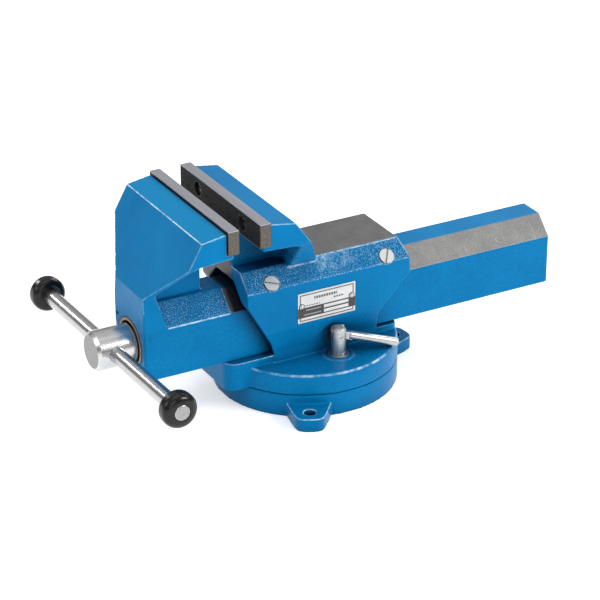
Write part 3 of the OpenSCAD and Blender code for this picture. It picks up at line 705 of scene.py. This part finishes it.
def settle(piece, node):
    """Lays a casting's flat parts on the CAD's planes and marks the vertices near outer edges, where the
    paint is pale as rubbed paint and painted highlight.
    """
    work = bmesh.new()
    work.from_mesh(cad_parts[node].data)
    bmesh.ops.remove_doubles(work, verts=work.verts, dist=WELD)
    sharp = [
        edge for edge in work.edges if edge.is_manifold and edge.calc_face_angle(0.0) > EDGE_ANGLE
    ]
    outer = spots_tree([edge for edge in sharp if edge.is_convex])
    every = spots_tree(sharp)
    bmesh.ops.dissolve_limit(work, angle_limit=FLAT_ANGLE, verts=work.verts, edges=work.edges)
    work.faces.ensure_lookup_table()
    areas = [face.calc_area() for face in work.faces]
    surface = BVHTree.FromBMesh(work)
    work.free()
    mesh = piece.data
    wear = []
    exact = []
    for vertex in mesh.vertices:
        distance = outer.find(vertex.co)[2]
        wear.append(min(1.0, max(0.0, (EDGE_FAR - distance) / (EDGE_FAR - EDGE_NEAR))))
        spot, normal, index, gap = surface.find_nearest(vertex.co)
        flat = (
            gap < FLAT_GAP and areas[index] > FLAT_AREA and normal.dot(vertex.normal) > FLAT_DOT
            and every.find(vertex.co)[2] > EDGE_CLEAR
        )
        exact.append((spot, normal) if flat else None)
    normals = [Vector(corner.vector) for corner in mesh.corner_normals]
    for i, loop in enumerate(mesh.loops):
        if exact[loop.vertex_index]:
            normals[i] = exact[loop.vertex_index][1]
    for vertex, place in zip(mesh.vertices, exact):
        if place:
            vertex.co = place[0]
    mesh.attributes.new("wear", "FLOAT", "POINT").data.foreach_set("value", wear)
    mesh.normals_split_custom_set(normals)
    return piece


for node, name, look, body in (
    ("fixed_jaw_body", "body_casting", "body", "swivel"),
    ("movable_jaw", "front_jaw_casting", "jaw", "front_jaw"),
    ("base_plate", "base_casting", "base", "base"),
):
    finish_piece(settle(cast_copy(node, name), node), look, body, node)

TOOTH = 1.25 * MM
TOOTH_DEPTH = 0.6 * MM
TOOTH_SINK = 0.05 * MM
PLATE_BEVEL = 0.35 * MM
PLATE_MARGIN = 0.3 * MM
FACE_REACH = 0.5 * MM
SCREW_CLEAR = 1.1 * TOOTH
SLIVER = 1e-6


def serrated_plate(node, screws, inward):
    """A jaw plate with rows of four-sided teeth on its gripping face; inward, 1 or -1, is into the jaw."""
    piece = bevelled_copy(node, node + "_serrated", PLATE_BEVEL)
    low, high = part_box(node)
    face = low.y if inward > 0 else high.y
    screw_low, screw_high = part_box(screws)
    screw_r = (screw_high.z - screw_low.z) / 2
    screw_x = screw_high.x - screw_r
    middle = (low.z + high.z) / 2
    left, right = low.x + PLATE_MARGIN, high.x - PLATE_MARGIN
    foot, top = low.z + PLATE_MARGIN, high.z - PLATE_MARGIN
    work = bmesh.new()
    work.from_mesh(piece.data)
    for facet in work.faces:
        facet.smooth = True
    for vertex in work.verts:
        if abs(vertex.co.y - face) < FACE_REACH:
            vertex.co.y += inward * TOOTH_DEPTH
    base_y = face + inward * (TOOTH_DEPTH + TOOTH_SINK)
    columns = int(high.x / TOOTH) + 1
    rows = int((high.z - low.z) / 2 / TOOTH) + 1
    for i in range(-columns, columns + 1):
        for j in range(-rows, rows + 1):
            if (i + j) % 2:
                continue
            x, z = i * TOOTH, middle + j * TOOTH
            if math.hypot(abs(x) - screw_x, z - middle) < screw_r + SCREW_CLEAR:
                continue
            ring = []
            for dx, dz in ((TOOTH, 0), (0, TOOTH), (-TOOTH, 0), (0, -TOOTH)):
                px, pz = min(max(x + dx, left), right), min(max(z + dz, foot), top)
                ring.append(work.verts.new((px, base_y, pz)))
            tip = work.verts.new((min(max(x, left), right), face, min(max(z, foot), top)))
            if inward > 0:
                ring.reverse()
            work.faces.new(ring)
            for a, b in zip(ring, ring[1:] + ring[:1]):
                work.faces.new((b, a, tip))
    bmesh.ops.dissolve_degenerate(work, edges=work.edges, dist=SLIVER)
    bmesh.ops.recalc_face_normals(work, faces=work.faces)
    work.to_mesh(piece.data)
    work.free()
    return shade(piece, keep_flat=True)


for node, screws, body, inward in (
    ("fixed_jaw_plate", "fixed_plate_screws", "swivel", 1),
    ("movable_jaw_plate", "movable_plate_screws", "front_jaw", -1),
):
    finish_piece(serrated_plate(node, screws, inward), "plate", body, node)


# Lead screw: the CAD head and journal, then a real trapezoidal thread
THREAD_PITCH = 5 * MM
THREAD_DEPTH = 2.75 * MM
THREAD_R = 14 * MM
THREAD_GAP = 3 * MM
THREAD_OVERLAP = 1 * MM
SCREW_BEVEL = 0.35 * MM
END_LENGTH, END_CHAMFER = 2 * MM, 1.2 * MM
END_PLANE = 1.9 * MM
RUNOUT = 0.15
TURN_STEPS = 40
PITCH_STEPS = 10
PROFILE = (1, 1, 1, 0.85, 0.15, 0, 0, 0, 0.15, 0.85)


def threaded_screw():
    """The lead screw with its thread cut, as one piece."""
    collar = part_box("screw_collar")[1].y
    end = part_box("lead_screw")[1].y
    axis_z = (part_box("front_ring")[0].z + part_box("front_ring")[1].z) / 2
    piece = bevelled_copy("lead_screw", "lead_screw_threaded", SCREW_BEVEL)
    start = collar + THREAD_GAP
    work = bmesh.new()
    work.from_mesh(piece.data)
    cut = bmesh.ops.bisect_plane(
        work, geom=work.verts[:] + work.edges[:] + work.faces[:], plane_co=(0, start, 0),
        plane_no=(0, 1, 0), clear_outer=True,
    )
    rim = [item for item in cut["geom_cut"] if isinstance(item, bmesh.types.BMEdge)]
    bmesh.ops.contextual_create(work, geom=rim)
    first, last = start - THREAD_OVERLAP, end - END_LENGTH
    step = THREAD_PITCH / PITCH_STEPS
    count = int((last - first) / step) + 2 * PITCH_STEPS
    grid = []
    for i in range(-PITCH_STEPS, count):
        row = []
        for j in range(TURN_STEPS):
            y = first + step * i + THREAD_PITCH * j / TURN_STEPS
            fade = min(1.0, max(0.0, (last - y) / THREAD_PITCH))
            r = THREAD_R - THREAD_DEPTH * (1 - PROFILE[i % PITCH_STEPS] * min(1.0, fade + RUNOUT))
            y = min(max(y, first), last)
            angle = 2 * math.pi * j / TURN_STEPS
            row.append(work.verts.new((r * math.cos(angle), y, axis_z + r * math.sin(angle))))
        grid.append(row)
    for i in range(len(grid) - 1):
        for j in range(TURN_STEPS):
            if j + 1 < TURN_STEPS:
                quad = (grid[i][j], grid[i][j + 1], grid[i + 1][j + 1], grid[i + 1][j])
            elif i + 1 + PITCH_STEPS < len(grid):
                quad = (grid[i][j], grid[i + PITCH_STEPS][0], grid[i + 1 + PITCH_STEPS][0], grid[i + 1][j])
            else:
                continue
            work.faces.new(quad)
    core_r = THREAD_R - THREAD_DEPTH
    rings = [
        [
            work.verts.new((r * math.cos(angle), y, axis_z + r * math.sin(angle)))
            for angle in (2 * math.pi * j / TURN_STEPS for j in range(TURN_STEPS))
        ]
        for y, r in ((last, core_r), (last + END_PLANE, core_r - END_CHAMFER))
    ]
    centre = work.verts.new((0, last + END_PLANE, axis_z))
    for j in range(TURN_STEPS):
        k = (j + 1) % TURN_STEPS
        work.faces.new((rings[0][j], rings[0][k], rings[1][k], rings[1][j]))
        work.faces.new((rings[1][j], rings[1][k], centre))
    for facet in work.faces:
        facet.smooth = True
    bmesh.ops.remove_doubles(work, verts=work.verts, dist=SLIVER)
    bmesh.ops.dissolve_degenerate(work, edges=work.edges, dist=SLIVER / 10)
    bmesh.ops.recalc_face_normals(work, faces=work.faces)
    work.to_mesh(piece.data)
    work.free()
    return shade(piece)


finish_piece(
    true_round(threaded_screw(), Vector((0, 0, HEAD_Z)), (HEAD_HIGH.x - HEAD_LOW.x) / 2),
    "head", "screw", "lead_screw",
)

# For each body: node, look, slot and bevel in mm
SOFTENED = {
    "swivel": [("fixed_plate_screws", "zinc", "zinc", 0.3), ("gib_screws", "zinc", "zinc", 0.7),
               ("lock_washers", "zinc", "zinc", 0.2), ("name_plate", "print", "plate_metal", 0.2)],
    "front_jaw": [("movable_plate_screws", "zinc", "zinc", 0.3), ("front_ring", "bronze", "bronze", 0.3)],
    "lock_right": [("lock_nut_right", "zinc", "zinc", 0.6), ("lock_pin_right", "zinc", "zinc", 0.3)],
    "lock_left": [("lock_nut_left", "zinc", "zinc", 0.6), ("lock_pin_left", "zinc", "zinc", 0.3)],
    "lever_right": [("lock_lever_right", "zinc", "zinc", 0.7)],
    "lever_left": [("lock_lever_left", "zinc", "zinc", 0.7)],
}
for body, parts in SOFTENED.items():
    for node, look, slot, width in parts:
        finish_piece(bevelled_copy(node, node + "_softened", width * MM), look, body, node)

BAR_BEVEL = 0.5 * MM


def mean(spots):
    return sum(spots, Vector()) / len(spots)


def round_bar():
    """The tommy bar with softened ends and exact normals round its own slanting axis."""
    bar = bevelled_copy("tommy_bar", "tommy_bar_softened", BAR_BEVEL)
    spots = [vertex.co for vertex in bar.data.vertices]
    middle = mean(spots)
    axis = (mean([spot for spot in spots if spot.x > middle.x]) - middle).normalized()
    radius = max((spot - middle).cross(axis).length for spot in spots)
    return true_round(bar, middle, radius, axis)


finish_piece(round_bar(), "chrome", "handle", "tommy_bar")

# Nodes that keep their CAD shape
CARRIED = {
    "zinc": ["name_plate_rivets"],
    "dark": ["spindle_nut_bolts", "lock_bolt_right", "lock_bolt_left", "thrust_washer", "screw_collar",
             "collar_pin"],
    "iron": ["spindle_nut", "gib_right", "gib_left"],
    "plastic": ["tommy_knob_right", "tommy_knob_left"],
}
for look, nodes in CARRIED.items():
    for node in nodes:
        dress(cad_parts[node], look)


# -------------------------------------------------------------------- stage

FLOOR_HALF = 12.0
FLOOR_TONE = 0.93
FLOOR_GLOW = 0.45

floor_mesh = bpy.data.meshes.new("floor")
corners = [(x, y, 0) for x, y in ((-1, -1), (1, -1), (1, 1), (-1, 1))]
floor_mesh.from_pydata([tuple(FLOOR_HALF * c for c in corner) for corner in corners], [], [(0, 1, 2, 3)])
floor = object_from(floor_mesh, "floor")
floor_look = Look("pale_floor", Roughness=0.9, Specular_IOR_Level=0.1)
floor_look.set("Base Color", (FLOOR_TONE, FLOOR_TONE, FLOOR_TONE, 1))
floor_look.set("Emission Color", (*WHITE, 1))
floor_look.set("Emission Strength", FLOOR_GLOW)
floor_mesh.materials.append(floor_look.material)

# The studio's brightness from below (0) to straight above (1)
SKY_STOPS = (
    (0.0, 0.70), (0.14, 0.80), (0.18, 0.22), (0.28, 0.20), (0.34, 0.85), (0.78, 1.3), (0.86, 1.3), (1.0, 1.3)
)
SKY_STRENGTH = 0.55

world = bpy.data.worlds.new("studio")
bpy.context.scene.world = world
world.use_nodes = True
nodes, links = world.node_tree.nodes, world.node_tree.links
nodes.clear()
sky = nodes.new("ShaderNodeOutputWorld")
background = nodes.new("ShaderNodeBackground")
ramp = nodes.new("ShaderNodeValToRGB")
split = nodes.new("ShaderNodeSeparateXYZ")
coords = nodes.new("ShaderNodeTexCoord")
links.new(coords.outputs["Generated"], split.inputs[0])
links.new(split.outputs["Z"], ramp.inputs[0])
links.new(ramp.outputs[0], background.inputs[0])
links.new(background.outputs[0], sky.inputs[0])
while len(ramp.color_ramp.elements) < len(SKY_STOPS):
    ramp.color_ramp.elements.new(0.5)
for element, (place, grey) in zip(ramp.color_ramp.elements, SKY_STOPS):
    element.position = place
    element.color = (grey, grey, grey, 1)
background.inputs["Strength"].default_value = SKY_STRENGTH

# Softboxes, all aimed at one spot: name, place, width and height in metres, power in watts
AIM = Vector((0, 0, 0.1))
SOFTBOXES = (
    ("key", (2.0, 1.6, 1.7), (1.3, 0.9), 39),
    ("side", (2.4, -1.0, 1.0), (1.0, 1.4), 7),
    ("fill", (-0.4, -2.4, 1.3), (1.2, 0.8), 10),
    ("rear", (-1.2, 2.0, 1.8), (1.4, 0.8), 26),
    ("top", (0.3, -0.3, 2.6), (1.6, 1.6), 9),
    ("rim", (-2.3, -0.8, 1.15), (0.35, 0.6), 9),
)
for name, place, size, power in SOFTBOXES:
    data = bpy.data.lights.new(name, "AREA")
    data.shape = "RECTANGLE"
    data.size, data.size_y = size
    data.energy = power
    light = bpy.data.objects.new(name, data)
    bpy.context.scene.collection.objects.link(light)
    turn = (AIM - Vector(place)).to_track_quat("-Z", "Y")
    light.matrix_world = Matrix.Translation(place) @ turn.to_matrix().to_4x4()

# The camera fitted to the photo: its own axes and its place
RIGHT = Vector((0.48514, 0.87444, 0.0))
UP = Vector((-0.38619, 0.21426, 0.89719))
BACK = Vector((0.78453, -0.43526, 0.44165))
CAMERA_PLACE = (2.1106, -1.1769, 1.2780)
FOCAL_MM, SENSOR_MM = 150, 36
lens = bpy.data.cameras.new("camera")
lens.lens = FOCAL_MM
lens.sensor_width = SENSOR_MM
camera = bpy.data.objects.new("camera", lens)
bpy.context.scene.collection.objects.link(camera)
camera.matrix_world = Matrix.Translation(CAMERA_PLACE) @ Matrix((RIGHT, UP, BACK)).transposed().to_4x4()
bpy.context.scene.camera = camera
bpy.context.scene.view_settings.view_transform = "Standard"

bpy.context.view_layer.update()
